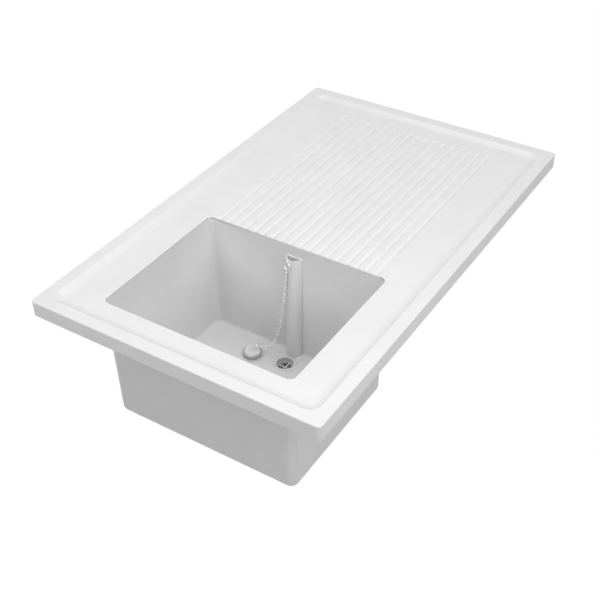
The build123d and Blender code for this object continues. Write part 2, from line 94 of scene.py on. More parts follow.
# Outlines of turned edges: steps outwards and upwards from a named radius and level, in mm
FLANGE_EDGE = ((0, -1.2), (-0.5, -0.4), (-1.6, 0))
MOUTH_EDGE = ((1.2, -0.2), (0.3, -0.8), (-0.1, -2.0))
PLUG_FOOT = ((0, 0.6), (18.5, 0.6), (18.9, 0), (19.3, 0), (19.6, 0.4))
PLUG_LIP = ((-0.5, 8.0), (-0.1, 8.3), (0, 8.8), (0, 10.2), (-0.1, 10.7), (-0.5, 11.0))
PLUG_SHOULDER = ((2.2, 11.4), (1.4, 11.7), (1.0, 12.4))
PLUG_FACE_EDGE = (
    (0.3, -1.2), (-0.1, -0.5), (-0.6, -0.1), (-1.2, 0), (-2.6, 0), (-3.0, -0.2), (-3.4, -0.5),
)
PLUG_BOSS = ((9.0, -0.5), (8.4, -0.4), (7.8, 0), (0, 0))


# Sizes and colours


class UnitSizes(bpy.types.PropertyGroup):
    """Sizes of the finish on the moulded shells and their welds."""

    smooth_angle: FloatProperty(
        name="Smoothing Angle", description="Edges flatter than this are shaded smooth",
        default=math.radians(32), min=0, max=math.pi, subtype="ANGLE",
    )
    edge_round: FloatProperty(
        name="Edge Rounding", description="Radius of the broken edges on small mouldings",
        default=0.0004, min=0, max=0.003, unit="LENGTH", precision=5,
    )
    weld_radius: FloatProperty(
        name="Duct Weld Radius", description="Radius of the bead along the duct's two edges",
        default=0.0014, min=0.0005, max=0.004, unit="LENGTH", precision=5,
    )
    weld_ripple: FloatProperty(
        name="Weld Ripple", description="Length of one ripple along a weld bead",
        default=0.0032, min=0.001, max=0.02, unit="LENGTH", precision=5,
    )
    flange_weld_radius: FloatProperty(
        name="Flange Weld Radius", description="Radius of the bead round the bowl's flange",
        default=0.0029, min=0.001, max=0.006, unit="LENGTH", precision=5,
    )


class FittingSizes(bpy.types.PropertyGroup):
    """Sizes of the waste fitting, the plug and the chain."""

    thread_pitch: FloatProperty(
        name="Thread Pitch", description="Pitch of the thread on the waste's tail",
        default=0.002309, min=0.001, max=0.005, unit="LENGTH", precision=6,
    )
    thread_depth: FloatProperty(
        name="Thread Depth", description="Depth of the thread on the waste's tail",
        default=0.00148, min=0.0002, max=0.003, unit="LENGTH", precision=6,
    )
    turn_steps: IntProperty(
        name="Turning Steps", description="Number of faces round a turned piece",
        default=96, min=24, max=256,
    )
    link_wire: FloatProperty(
        name="Link Wire Radius", description="Radius of the wire in the chain's links",
        default=0.001, min=0.0005, max=0.002, unit="LENGTH", precision=5,
    )
    ring_wire: FloatProperty(
        name="Ring Wire Radius", description="Radius of the wire in the chain's rings",
        default=0.001, min=0.0005, max=0.002, unit="LENGTH", precision=5,
    )
    stay_wire: FloatProperty(
        name="Stay Ring Wire Radius", description="Radius of the wire in the ring on the duct",
        default=0.0009, min=0.0005, max=0.002, unit="LENGTH", precision=5,
    )
    eye_wire: FloatProperty(
        name="Eye Wire Radius", description="Radius of the wire in the plug's eye",
        default=0.0012, min=0.0005, max=0.002, unit="LENGTH", precision=5,
    )


class Finishes(bpy.types.PropertyGroup):
    """Colours and roughness of the finishes."""

    shell_colour: FloatVectorProperty(
        name="Shell", description="Colour of the white polypropylene",
        default=(0.75, 0.75, 0.75), min=0, max=1, size=3, subtype="COLOR",
    )
    fitting_colour: FloatVectorProperty(
        name="Fitting", description="Colour of the moulded waste fitting",
        default=(0.75, 0.75, 0.75), min=0, max=1, size=3, subtype="COLOR",
    )
    # Painted shade: a darker grey for the bars and bore inside the waste's mouth, standing for the
    # shade in the recess
    mouth_painted_shade: FloatVectorProperty(
        name="Waste Mouth Painted Shade", description="Colour of the grey bars and bore in the waste's mouth",
        default=(0.66, 0.66, 0.66), min=0, max=1, size=3, subtype="COLOR",
    )
    plug_colour: FloatVectorProperty(
        name="Plug", description="Colour of the moulded plug",
        default=(0.78, 0.78, 0.78), min=0, max=1, size=3, subtype="COLOR",
    )
    # Painted shade: a mid grey given to the plug's lip, standing for the shade on the side of the
    # white plug
    plug_rim_painted_shade: FloatVectorProperty(
        name="Plug Rim Painted Shade", description="Colour of the grey rim under the plug's face",
        default=(0.4, 0.4, 0.4), min=0, max=1, size=3, subtype="COLOR",
    )
    washer_colour: FloatVectorProperty(
        name="Washer", description="Colour of the slip washer",
        default=(0.78, 0.78, 0.75), min=0, max=1, size=3, subtype="COLOR",
    )
    seal_colour: FloatVectorProperty(
        name="Seal", description="Colour of the rubber seals",
        default=(0.035, 0.035, 0.037), min=0, max=1, size=3, subtype="COLOR",
    )
    steel_colour: FloatVectorProperty(
        name="Steel", description="Colour of the stainless wire",
        default=(0.92, 0.92, 0.915), min=0, max=1, size=3, subtype="COLOR",
    )
    shell_roughness: FloatProperty(
        name="Shell Roughness", description="Roughness of the satin shell",
        default=0.42, min=0, max=1, subtype="FACTOR",
    )


class StageSettings(bpy.types.PropertyGroup):
    """Lights and the camera's lens."""

    ceiling_power: FloatProperty(
        name="Ceiling Light", description="Power of the widest soft light, all over the object",
        default=63.5, min=0, max=2000, unit="POWER",
    )
    overhead_power: FloatProperty(
        name="Overhead Light", description="Power of the smaller soft light straight above",
        default=20.0, min=0, max=2000, unit="POWER",
    )
    key_power: FloatProperty(
        name="Key Light", description="Power of the near light above the bowl's front corner",
        default=6.0, min=0, max=2000, unit="POWER",
    )
    end_power: FloatProperty(
        name="End Light", description="Power of the low light past the bowl's end",
        default=27.5, min=0, max=2000, unit="POWER",
    )
    corner_power: FloatProperty(
        name="Corner Light", description="Power of the low light past the bowl's front corner",
        default=19.0, min=0, max=2000, unit="POWER",
    )
    front_power: FloatProperty(
        name="Front Light", description="Power of the low light past the front",
        default=19.0, min=0, max=2000, unit="POWER",
    )
    back_power: FloatProperty(
        name="Back Light", description="Power of the low light past the drainer's back corner",
        default=9.0, min=0, max=2000, unit="POWER",
    )
    lens: FloatProperty(
        name="Lens", description="Focal length of the camera's lens",
        default=62.58, min=10, max=300, unit="CAMERA",
    )


# Materials


def new_material(name):
    """A node material with a Principled surface, and its node tree's parts."""
    material = bpy.data.materials.new(name)
    material.use_nodes = True
    tree = material.node_tree
    return material, tree, tree.nodes["Principled BSDF"]


def add_noise(tree, source, scale, detail=3.0, roughness=0.55):
    """A noise texture on a coordinate socket, its scale in cells per metre."""
    noise = tree.nodes.new("ShaderNodeTexNoise")
    noise.inputs["Scale"].default_value = scale
    noise.inputs["Detail"].default_value = detail
    noise.inputs["Roughness"].default_value = roughness
    tree.links.new(source, noise.inputs["Vector"])
    return noise.outputs["Fac"]


def add_ramp(tree, source, taken, given=(0.0, 1.0)):
    """A value remapped from one range, low to high, into another."""
    node = tree.nodes.new("ShaderNodeMapRange")
    node.inputs["From Min"].default_value = taken[0]
    node.inputs["From Max"].default_value = taken[1]
    node.inputs["To Min"].default_value = given[0]
    node.inputs["To Max"].default_value = given[1]
    tree.links.new(source, node.inputs["Value"])
    return node.outputs["Result"]


def tinted(tree, factor, colour, shade):
    """A mix between a colour and a slightly changed shade of it."""
    mix = tree.nodes.new("ShaderNodeMix")
    mix.data_type = "RGBA"
    mix.inputs["A"].default_value = (*colour, 1)
    mix.inputs["B"].default_value = (*shade, 1)
    tree.links.new(factor, mix.inputs["Factor"])
    return mix.outputs["Result"]


def add_bump(tree, height, strength, distance, normal=None):
    """A bump from a height, on top of another where one is given."""
    bump = tree.nodes.new("ShaderNodeBump")
    bump.inputs["Strength"].default_value = strength
    bump.inputs["Distance"].default_value = distance
    tree.links.new(height, bump.inputs["Height"])
    if normal is not None:
        tree.links.new(normal, bump.inputs["Normal"])
    return bump.outputs["Normal"]


def coordinates(tree):
    """Object coordinates."""
    return tree.nodes.new("ShaderNodeTexCoord").outputs["Object"]


def plastic(name, colour, roughness, mottle, grain, grain_depth, warmth=0.0):
    """A moulded plastic: faint mottling, uneven gloss, slight flow waves and a fine grain."""
    darker = 0.962
    material, tree, surface = new_material(name)
    place = coordinates(tree)
    cloud = add_noise(tree, place, mottle, detail=4.0, roughness=0.6)
    shade = [channel * share for channel, share in zip(colour, (darker, darker, darker - warmth))]
    tint = tinted(tree, add_ramp(tree, cloud, (0.35, 0.7)), colour, shade)
    tree.links.new(tint, surface.inputs["Base Color"])
    gloss = add_noise(tree, place, mottle * 3.1, detail=3.0, roughness=0.5)
    uneven = add_ramp(tree, gloss, (0.3, 0.7), (roughness - 0.05, roughness + 0.06))
    tree.links.new(uneven, surface.inputs["Roughness"])
    fine = add_noise(tree, place, grain, detail=2.0, roughness=0.5)
    flow = add_noise(tree, place, mottle * 0.7, detail=1.0, roughness=0.4)
    waves = add_bump(tree, flow, strength=0.2, distance=grain_depth * 4)
    grained = add_bump(tree, fine, strength=0.3, distance=grain_depth, normal=waves)
    tree.links.new(grained, surface.inputs["Normal"])
    surface.inputs["IOR"].default_value = 1.49
    surface.inputs["Specular IOR Level"].default_value = 0.45
    return material


def rubber(name, colour):
    """Matt moulded rubber with a paler bloom in its grain."""
    paler = 1.7
    material, tree, surface = new_material(name)
    place = coordinates(tree)
    bloom = add_noise(tree, place, 180.0, detail=4.0, roughness=0.65)
    shade = [channel * paler for channel in colour]
    tint = tinted(tree, add_ramp(tree, bloom, (0.45, 0.75)), colour, shade)
    tree.links.new(tint, surface.inputs["Base Color"])
    matt = add_ramp(tree, bloom, (0.3, 0.7), (0.62, 0.82))
    tree.links.new(matt, surface.inputs["Roughness"])
    fine = add_noise(tree, place, 1400.0, detail=2.0)
    grained = add_bump(tree, fine, strength=0.4, distance=0.00004)
    tree.links.new(grained, surface.inputs["Normal"])
    surface.inputs["Specular IOR Level"].default_value = 0.35
    return material


def drawn_steel(name, colour):
    """Drawn stainless wire: bright, with patches of wear and a faint fine grain."""
    worn = 0.8
    material, tree, surface = new_material(name)
    place = coordinates(tree)
    wear = add_noise(tree, place, 260.0, detail=4.0, roughness=0.6)
    shade = [channel * worn for channel in colour]
    tint = tinted(tree, add_ramp(tree, wear, (0.4, 0.75)), colour, shade)
    tree.links.new(tint, surface.inputs["Base Color"])
    dulled = add_ramp(tree, wear, (0.3, 0.7), (0.2, 0.38))
    tree.links.new(dulled, surface.inputs["Roughness"])
    fine = add_noise(tree, place, 2600.0, detail=2.0)
    grained = add_bump(tree, fine, strength=0.25, distance=0.00002)
    tree.links.new(grained, surface.inputs["Normal"])
    surface.inputs["Metallic"].default_value = 1.0
    return material


def material_named(name):
    """One of the finishes by its name, made on first use."""
    found = bpy.data.materials.get(name)
    if found:
        return found
    finish = bpy.context.scene.sink_finishes
    if name == "Matt rubber":
        return rubber(name, finish.seal_colour)
    if name == "Stainless wire":
        return drawn_steel(name, finish.steel_colour)
    # Colour, roughness, mottle and grain in cells per metre, depth of the grain, and warmth
    plastics = {
        "White polypropylene": (
            finish.shell_colour, finish.shell_roughness, 9.0, 900.0, 0.00004
        ),
        "Moulded fitting": (finish.fitting_colour, 0.46, 40.0, 1500.0, 0.00003),
        "Waste mouth painted shade": (finish.mouth_painted_shade, 0.4, 50.0, 1500.0, 0.00003),
        "Polished plug": (finish.plug_colour, 0.3, 45.0, 1200.0, 0.00002),
        "Plug rim painted shade": (finish.plug_rim_painted_shade, 0.5, 60.0, 1500.0, 0.00003),
        "Slip washer": (finish.washer_colour, 0.5, 60.0, 1500.0, 0.00003, 0.02),
    }
    return plastic(name, *plastics[name])


SLOTS = {
    "shell": "White polypropylene",
    "fitting": "Moulded fitting",
    "plug": "Polished plug",
    "washer": "Slip washer",
    "seal": "Matt rubber",
    "steel": "Stainless wire",
}


# Mesh helpers


def only(piece):
    """Selects one object alone and makes it active."""
    bpy.ops.object.select_all(action="DESELECT")
    piece.select_set(True)
    bpy.context.view_layer.objects.active = piece


def start_piece(name):
    """Names the primitive that has just been added and settles its place in its mesh."""
    piece = bpy.context.active_object
    piece.name = name
    piece.data.name = name
    bpy.ops.object.transform_apply(location=True, rotation=True, scale=True)
    return piece


def edit(piece):
    """Opens one piece in edit mode with all of it selected."""
    only(piece)
    bpy.ops.object.mode_set(mode="EDIT")
    bpy.ops.mesh.select_all(action="SELECT")


def done():
    """Back to object mode."""
    bpy.ops.object.mode_set(mode="OBJECT")


def coordinates_of(piece):
    """A mesh's points as an array."""
    points = np.empty(len(piece.data.vertices) * 3)
    piece.data.vertices.foreach_get("co", points)
    return points.reshape(-1, 3)


def set_coordinates(piece, points):
    """Writes a mesh's points back."""
    piece.data.vertices.foreach_set("co", np.asarray(points, float).ravel())
    piece.data.update()


def select_points(piece, mask):
    """Selects points in object mode, ready for edit mode."""
    mesh = piece.data
    mesh.polygons.foreach_set("select", np.zeros(len(mesh.polygons), bool))
    mesh.edges.foreach_set("select", np.zeros(len(mesh.edges), bool))
    mesh.vertices.foreach_set("select", np.asarray(mask, bool))


def apply_modifier(piece, kind, **settings):
    """Adds a modifier, sets it up and applies it."""
    only(piece)
    modifier = piece.modifiers.new(kind.title(), kind)
    for key, value in settings.items():
        setattr(modifier, key, value)
    bpy.ops.object.modifier_apply(modifier=modifier.name)


def smoothed(piece, angle):
    """Smooth shading up to an angle, weighted so that big flats stay flat."""
    only(piece)
    bpy.ops.object.shade_smooth_by_angle(angle=angle)
    apply_modifier(piece, "WEIGHTED_NORMAL", keep_sharp=True, weight=60)


def finished(piece, slot, body=None):
    """Gives a piece its finish and, where one is named, the body that it rides on."""
    piece.data.materials.clear()
    piece.data.materials.append(material_named(SLOTS[slot]))
    if body:
        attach(piece, body)


def second_finish(piece, name, holds):
    """Gives a second finish to the faces whose middles pass a test."""
    piece.data.materials.append(material_named(name))
    for face in piece.data.polygons:
        if holds(*face.center):
            face.material_index = 1


def merged_copy(node, name):
    """A copy of a CAD node's mesh with its doubles merged."""
    piece = bpy.data.objects.new(name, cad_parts[node].data.copy())
    piece.data.name = name
    bpy.context.scene.collection.objects.link(piece)
    edit(piece)
    bpy.ops.mesh.remove_doubles(threshold=SAME_POINT)
    done()
    return piece


def dressed_copy(node, name, slot, body, angle, width=0.0, segments=2):
    """A piece in a CAD node's own shape, with its edges broken to a width, and its finish."""
    piece = merged_copy(node, name)
    if width:
        apply_modifier(
            piece, "BEVEL", width=width, segments=segments, limit_method="ANGLE",
            angle_limit=SHARP_EDGE, use_clamp_overlap=True, harden_normals=False,
        )
    smoothed(piece, angle)
    finished(piece, slot, body)
    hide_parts(node)
    return piece


def stepped(radius, level, steps):
    """Points of an outline, at steps outwards and upwards from a radius and a level."""
    return [(radius + out * MM, level + rise * MM) for out, rise in steps]


def turned_piece(name, outline, centre, steps):
    """A round piece spun from its half section, given as radius and height in metres."""
    x, y = centre.xy
    bpy.ops.object.select_all(action="DESELECT")
    bpy.ops.mesh.primitive_circle_add(vertices=len(outline))
    piece = start_piece(name)
    set_coordinates(piece, [(x + radius, y, level) for radius, level in outline])
    edit(piece)
    bpy.ops.mesh.spin(steps=steps, angle=math.tau, center=(x, y, 0), axis=UP, dupli=False)
    bpy.ops.mesh.select_all(action="SELECT")
    bpy.ops.mesh.remove_doubles(threshold=SAME_SEAM_POINT)
    bpy.ops.mesh.dissolve_degenerate(threshold=SLIVER)
    bpy.ops.mesh.select_all(action="SELECT")
    bpy.ops.mesh.normals_make_consistent(inside=False)
    done()
    return piece


def placed_by(points):
    """A solid's middle, its axes with the longest first, and its half sizes along them."""
    mean = points.mean(0)
    axes = np.linalg.eigh(np.cov((points - mean).T))[1][:, ::-1].T
    local = (points - mean) @ axes.T
    high = local.max(0)
    low = local.min(0)
    return mean + ((high + low) / 2) @ axes, axes, (high - low) / 2


def frame_matrix(middle, x_dir, y_dir):
    """A placing matrix from a middle and two directions."""
    x_dir = Vector(x_dir).normalized()
    z_dir = x_dir.cross(Vector(y_dir)).normalized()
    y_dir = z_dir.cross(x_dir)
    place = Matrix((x_dir, y_dir, z_dir)).transposed().to_4x4()
    place.translation = Vector(middle)
    return place


def loose_parts(node):
    """The points of each separate solid of a CAD node, found by shared places."""
    points = coordinates_of(node)
    keys = {}
    rounded = np.round(points, decimals=6)
    same = np.array([keys.setdefault(tuple(point), len(keys)) for point in rounded])
    parent = list(range(len(keys)))

    def root(number):
        while parent[number] != number:
            parent[number] = parent[parent[number]]
            number = parent[number]
        return number

    for triangle in node.data.polygons:
        corners = [same[v] for v in triangle.vertices]
        first = root(corners[0])
        for corner in corners[1:]:
            parent[root(corner)] = first
    roots = np.array([root(number) for number in same])
    return [points[roots == one] for one in sorted(set(roots))]


# Moulded shells and their welds


class SINK_OT_shells(bpy.types.Operator):
    """Moulded top, bowl, duct, tray, webs and pads"""

    bl_idname = "sink.shells"
    bl_label = "Moulded shells"

    def execute(self, context):
        sizes = context.scene.sink_unit
        shells = (
            ("drainer_top", "drainer_top", 0.0), ("bowl", "bowl", 0.0),
            ("overflow_duct", "overflow_duct", sizes.edge_round),
            ("overflow_chamber", "overflow_tray", sizes.edge_round),
            ("cross_webs", "stiffening_webs", sizes.edge_round),
            ("fixing_pads", "fixing_pads", sizes.edge_round),
        )
        for node, name, width in shells:
            dressed_copy(node, name, "shell", "unit", sizes.smooth_angle, width)
        return {"FINISHED"}


def bead_along(name, ring_count, place, radius):
    """A rippled bead: rings of a long tube, moved to their places along a path."""
    bpy.ops.object.select_all(action="DESELECT")
    bpy.ops.mesh.primitive_cylinder_add(
        vertices=10, radius=radius, depth=1.0, end_fill_type="NGON"
    )
    piece = start_piece(name)
    edit(piece)
    bpy.ops.mesh.select_all(action="DESELECT")
    bpy.ops.mesh.select_mode(type="EDGE")
    done()
    points = piece.data.vertices
    for edge in piece.data.edges:
        first, second = edge.vertices
        edge.select = abs(points[first].co.z - points[second].co.z) > 0.5
    bpy.ops.object.mode_set(mode="EDIT")
    bpy.ops.mesh.subdivide(number_cuts=ring_count - 2)
    bpy.ops.mesh.select_mode(type="VERT")
    done()
    points = coordinates_of(piece)
    share = points[:, 2] + 0.5
    set_coordinates(piece, place(share, points[:, :2]))
    return piece


def rounded_path(share, half, corner, total):
    """Points round a rounded rectangle at shares of its length, and their outward directions."""
    last_share = 1 - 1e-9
    along = np.clip(share, 0, last_share) * total
    x, y = half
    pivots = np.array([(x, -y), (x, y), (-x, y), (-x, -y), (x, -y)])
    place = np.zeros((len(along), 2))
    out = np.zeros((len(along), 2))
    start = 0.0
    for side in range(4):
        facing = side * math.pi / 2
        run = float(np.abs(pivots[side + 1] - pivots[side]).sum())
        arc = corner * math.pi / 2
        straight = (along >= start) & (along < start + run)
        bent = (along >= start + run) & (along < start + run + arc)
        part = ((along[straight] - start) / run)[:, None]
        turn = facing + (along[bent] - start - run) / corner
        out[straight] = (math.cos(facing), math.sin(facing))
        out[bent] = np.stack([np.cos(turn), np.sin(turn)], 1)
        place[straight] = pivots[side] + (pivots[side + 1] - pivots[side]) * part
        place[bent] = pivots[side + 1]
        start += run + arc
    return place + out * corner, out


class SINK_OT_welds(bpy.types.Operator):
    """Rippled weld beads along the duct and round the bowl's flange"""

    bl_idname = "sink.welds"
    bl_label = "Weld beads"

    def execute(self, context):
        sizes = context.scene.sink_unit
        self.duct_beads(sizes)
        self.flange_bead(sizes)
        return {"FINISHED"}

    def duct_beads(self, sizes):
        """The two upright beads in the corners between the duct and the wall."""
        end_gap = 0.002
        off_wall = 0.0008
        sunk = 0.0003
        swell = 0.16
        rings_per_ripple = 6
        top_slice = 0.0001
        foot_slice = 0.004
        low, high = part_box("overflow_duct")
        middle = (low.y + high.y) / 2
        half = (high.y - low.y) / 2
        points = coordinates_of(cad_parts["overflow_duct"])
        start_x = points[points[:, 2] < low.z + foot_slice, 0].max()
        stop_x = points[points[:, 2] > high.z - top_slice, 0].max()
        start_z = low.z + end_gap
        length = high.z - end_gap - start_z
        ring_count = int(length / sizes.weld_ripple * rings_per_ripple)
        for side, name in ((-1, "duct_weld_front"), (1, "duct_weld_back")):
            def place(share, across, side=side):
                ripple = 1 + swell * np.sin(math.tau * share * length / sizes.weld_ripple)
                x = start_x + (stop_x - start_x) * share - off_wall
                y = middle + side * (half - sunk)
                level = start_z + length * share
                return np.stack([x + across[:, 0] * ripple, y + across[:, 1] * ripple, level], 1)

            piece = bead_along(name, ring_count, place, sizes.weld_radius)
            smoothed(piece, WIRE_SMOOTH)
            finished(piece, "shell", "unit")

    def flange_bead(self, sizes):
        """The bead round the flange, in the corner under the deck."""
        corner = 0.0375
        swell = 0.1
        rings_per_ripple = 5
        radius = sizes.flange_weld_radius
        sunk = radius * 0.45
        drop = radius * 0.8
        low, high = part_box("bowl_weld")
        middle = (low + high) / 2
        inset = high.z - low.z - sunk
        half = ((high - low) / 2).xy - Vector((inset + corner, inset + corner))
        total = 4 * (half.x + half.y) + math.tau * corner
        ripples = round(total / sizes.weld_ripple)

        def place(share, across):
            centre, out = rounded_path(share, half, corner, total)
            ripple = 1 + swell * np.sin(math.tau * share * ripples)
            flat = centre + out * (across[:, :1] * ripple[:, None])
            level = high.z - drop + np.minimum(across[:, 1] * ripple, drop)
            return np.column_stack([flat[:, 0] + middle.x, flat[:, 1] + middle.y, level])

        piece = bead_along("flange_weld", ripples * rings_per_ripple, place, radius)
        edit(piece)
        bpy.ops.mesh.normals_make_consistent(inside=False)
        done()
        smoothed(piece, WIRE_SMOOTH)
        finished(piece, "shell", "unit")
        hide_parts("bowl_weld")


# Waste fitting


class SINK_OT_waste(bpy.types.Operator):
    """Waste fitting with its thread, grid, seals, washer and backnut"""

    bl_idname = "sink.waste"
    bl_label = "Waste fitting"

    def execute(self, context):
        self.build_body(context.scene.sink_fittings)
        angle = context.scene.sink_unit.smooth_angle
        grid = dressed_copy(
            "waste_grid", "waste_cross_bars", "fitting", "unit", angle, width=0.0006, segments=3
        )
        # Painted shade: the cross bars get the darker grey of the mouth's shade
        grid.data.materials[0] = material_named("Waste mouth painted shade")
        dressed_copy(
            "waste_backnut", "lobed_backnut", "fitting", "unit", angle, width=0.0008, segments=3
        )
        rings = (
            ("waste_top_seal", "flange_seal", "seal"), ("waste_lower_seal", "tray_seal", "seal"),
            ("waste_slip_washer", "slip_washer", "washer"),
        )
        for node, name, slot in rings:
            dressed_copy(node, name, slot, "unit", angle, width=0.00035)
        return {"FINISHED"}

    def build_body(self, sizes):
        """The flanged, slotted and threaded waste, turned from its half section."""
        bore = 0.0195
        tail = 0.0239
        shank = 0.0232
        mouth = 0.022
        mouth_taper = 0.001
        end_bevel = 0.0012
        bore_bevel = 0.001
        flange_depth = 0.003
        run_out = 0.002
        rings_per_turn = 10
        low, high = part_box("waste_body")
        centre = (low + high) / 2
        outer = (high.x - low.x) / 2
        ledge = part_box("waste_grid")[0].z
        thread_low = low.z + end_bevel
        thread_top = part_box("waste_backnut")[0].z - run_out
        rings = int((thread_top - low.z) / sizes.thread_pitch * rings_per_turn)
        rise = (thread_top - thread_low) / rings
        outline = [(bore + bore_bevel, low.z), (tail - end_bevel, low.z)]
        outline += [(tail, thread_low + rise * step) for step in range(rings + 1)]
        outline += [
            (shank, thread_top + tail - shank), (shank, high.z - flange_depth),
            *stepped(outer, high.z - flange_depth, ((-0.4, 0), (0, 0.4))),
            *stepped(outer, high.z, FLANGE_EDGE), *stepped(mouth, high.z, MOUTH_EDGE),
            (mouth - mouth_taper, ledge), (bore, ledge), (bore, low.z + bore_bevel),
        ]
        piece = turned_piece("waste_fitting", outline, centre, sizes.turn_steps)
        self.cut_slots(piece, centre, ledge)
        self.cut_thread(piece, centre, (thread_low, thread_top), tail, sizes)
        smoothed(piece, TURNED_SMOOTH)
        finished(piece, "fitting", "unit")
        # Painted shade: faces inside the mouth above the ledge get a darker grey, standing for the
        # shade in the recess
        shaded_mouth_radius = mouth + 0.0008
        shaded_mouth_level = ledge - 0.0005
        second_finish(piece, "Waste mouth painted shade", lambda x, y, z: (
            math.hypot(x - centre.x, y - centre.y) < shaded_mouth_radius and z > shaded_mouth_level
        ))
        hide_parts("waste_body")

    def cut_slots(self, piece, centre, ledge):
        """Cuts the six slots that let the overflow in, two to each cutter through the shank."""
        reach = 0.06
        width = 0.008
        height = 0.012
        below_ledge = 0.002
        corner = 0.0015
        middle = Vector((centre.x, centre.y, ledge - below_ledge - height / 2))
        for degrees in (30, 90, 150):
            bpy.ops.object.select_all(action="DESELECT")
            bpy.ops.mesh.primitive_cube_add(size=1.0)
            cutter = start_piece("slot_cutter")
            edit(cutter)
            bpy.ops.transform.resize(value=(reach, width, height))
            bpy.ops.mesh.bevel(offset=corner, segments=3, affect="EDGES")
            done()
            turn = Matrix.Rotation(math.radians(degrees), 4, "Z")
            cutter.data.transform(Matrix.Translation(middle) @ turn)
            apply_modifier(
                piece, "BOOLEAN", operation="DIFFERENCE", solver="EXACT", object=cutter
            )
            bpy.data.objects.remove(cutter)

    def cut_thread(self, piece, centre, span, tail, sizes):
        """Presses a helical thread into the tail, fading out over its last two turns."""
        skin = 0.0002
        crest = 1.5
        flank = 4.0
        fade_turns = 2
        low, high = span
        points = coordinates_of(piece)
        x = points[:, 0] - centre.x
        y = points[:, 1] - centre.y
        level = points[:, 2]
        radius = np.hypot(x, y)
        turn = np.arctan2(y, x) / math.tau
        here = (radius > tail - skin) & (level > low - skin / 2) & (level < high + SAME_POINT)
        phase = (level / sizes.thread_pitch - turn) % 1.0
        groove = np.clip(crest - np.abs(phase - 0.5) * flank, 0.0, 1.0)
        fade = np.clip((high - level) / (fade_turns * sizes.thread_pitch), 0.0, 1.0)
        share = 1 - np.where(here, sizes.thread_depth * groove * fade, 0.0) / radius
        points[:, 0] = centre.x + x * share
        points[:, 1] = centre.y + y * share
        set_coordinates(piece, points)


# Plug


class SINK_OT_plug(bpy.types.Operator):
    """Plug with its seal, wire eye and ring"""

    bl_idname = "sink.plug"
    bl_label = "Plug"

    def execute(self, context):
        sizes = context.scene.sink_fittings
        low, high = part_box("plug_body")
        centre = (low + high) / 2
        self.build_moulding(low, high, centre, sizes)
        dressed_copy("plug_seal", "plug_rubber", "seal", "plug", SEAL_SMOOTH, width=0.0003)
        self.build_eye(sizes.eye_wire)
        ring_piece("plug_link_ring", "plug_ring", sizes.ring_wire, "plug", joint_angle=40.0)
        return {"FINISHED"}

    def build_moulding(self, low, high, centre, sizes):
        """The plug's foot, groove, lip and dished face, turned from its half section."""
        face = 0.02
        body = 0.021
        groove = 0.0183
        under_lip = 0.0078
        lip = (high.x - low.x) / 2
        seal_low, seal_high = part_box("plug_seal")
        outline = [
            *stepped(0.0, low.z, PLUG_FOOT),
            *stepped(body, seal_low.z, ((-0.1, -0.2), (-0.2, 0))),
            (groove, seal_low.z), (groove, seal_high.z),
            *stepped(body, seal_high.z, ((-0.2, 0), (0, 0.2))),
            *stepped(body, low.z + under_lip, ((0, 0), (0.2, 0.2))),
            *stepped(lip, low.z, PLUG_LIP), *stepped(face, low.z, PLUG_SHOULDER),
            *stepped(face, high.z, PLUG_FACE_EDGE), *stepped(0.0, high.z, PLUG_BOSS),
        ]
        piece = turned_piece("plug_moulding", outline, centre, sizes.turn_steps)
        smoothed(piece, TURNED_SMOOTH)
        finished(piece, "plug", "plug")
        # Painted shade: the lip's faces outside the face's radius get a mid grey that stands for
        # the shade on the plug's side
        shaded_rim_radius = face + 0.0016
        shaded_rim_level = low.z + under_lip
        second_finish(piece, "Plug rim painted shade", lambda x, y, z: (
            math.hypot(x - centre.x, y - centre.y) > shaded_rim_radius and z > shaded_rim_level
        ))
        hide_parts("plug_body")

    def build_eye(self, wire):
        """The staple: a leg, a bend, the top, a bend and a leg, in one round wire."""
        bend = 0.002
        leg_shares = (0.4, 0.5, 0.1)
        top_runs = 3
        points = coordinates_of(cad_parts["plug_eye"])
        low = points.min(0)
        high = points.max(0)
        flat = points[:, :2] - points[:, :2].mean(0)
        along = np.linalg.eigh(np.cov(flat.T))[1][:, 1]
        heading = Vector((*along, 0)).normalized()
        half = float(np.abs(flat @ along).max()) - wire
        spring = high[2] - wire - bend
        leg = spring - low[2]
        top = 2 * (half - bend)

        def run(x, z):
            bpy.ops.mesh.extrude_region_move(TRANSFORM_OT_translate={"value": (x, 0, z)})

        def quarter_turn(x):
            bpy.ops.mesh.spin(
                steps=8, angle=math.pi / 2, center=(x, 0, spring), axis=(0, -1, 0)
            )

        bpy.ops.object.select_all(action="DESELECT")
        bpy.ops.mesh.primitive_circle_add(vertices=16, radius=wire, fill_type="NGON")
        piece = start_piece("plug_eye_wire")
        edit(piece)
        bpy.ops.transform.translate(value=(half, 0, low[2]))
        for share in leg_shares:
            run(0, leg * share)
        quarter_turn(half - bend)
        for _ in range(top_runs):
            run(-top / top_runs, 0)
        quarter_turn(bend - half)
        for share in reversed(leg_shares):
            run(0, -leg * share)
        bpy.ops.mesh.select_all(action="SELECT")
        bpy.ops.mesh.remove_doubles(threshold=SAME_POINT)
        bpy.ops.mesh.select_all(action="DESELECT")
        bpy.ops.mesh.select_non_manifold()
        bpy.ops.mesh.edge_face_add()
        bpy.ops.mesh.select_all(action="SELECT")
        bpy.ops.mesh.normals_make_consistent(inside=False)
        done()
        middle = ((low[0] + high[0]) / 2, (low[1] + high[1]) / 2, 0)
        piece.data.transform(frame_matrix(middle, heading, UP.cross(heading)))
        smoothed(piece, EYE_SMOOTH)
        finished(piece, "steel", "plug")
        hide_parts("plug_eye")


# Rings and chain


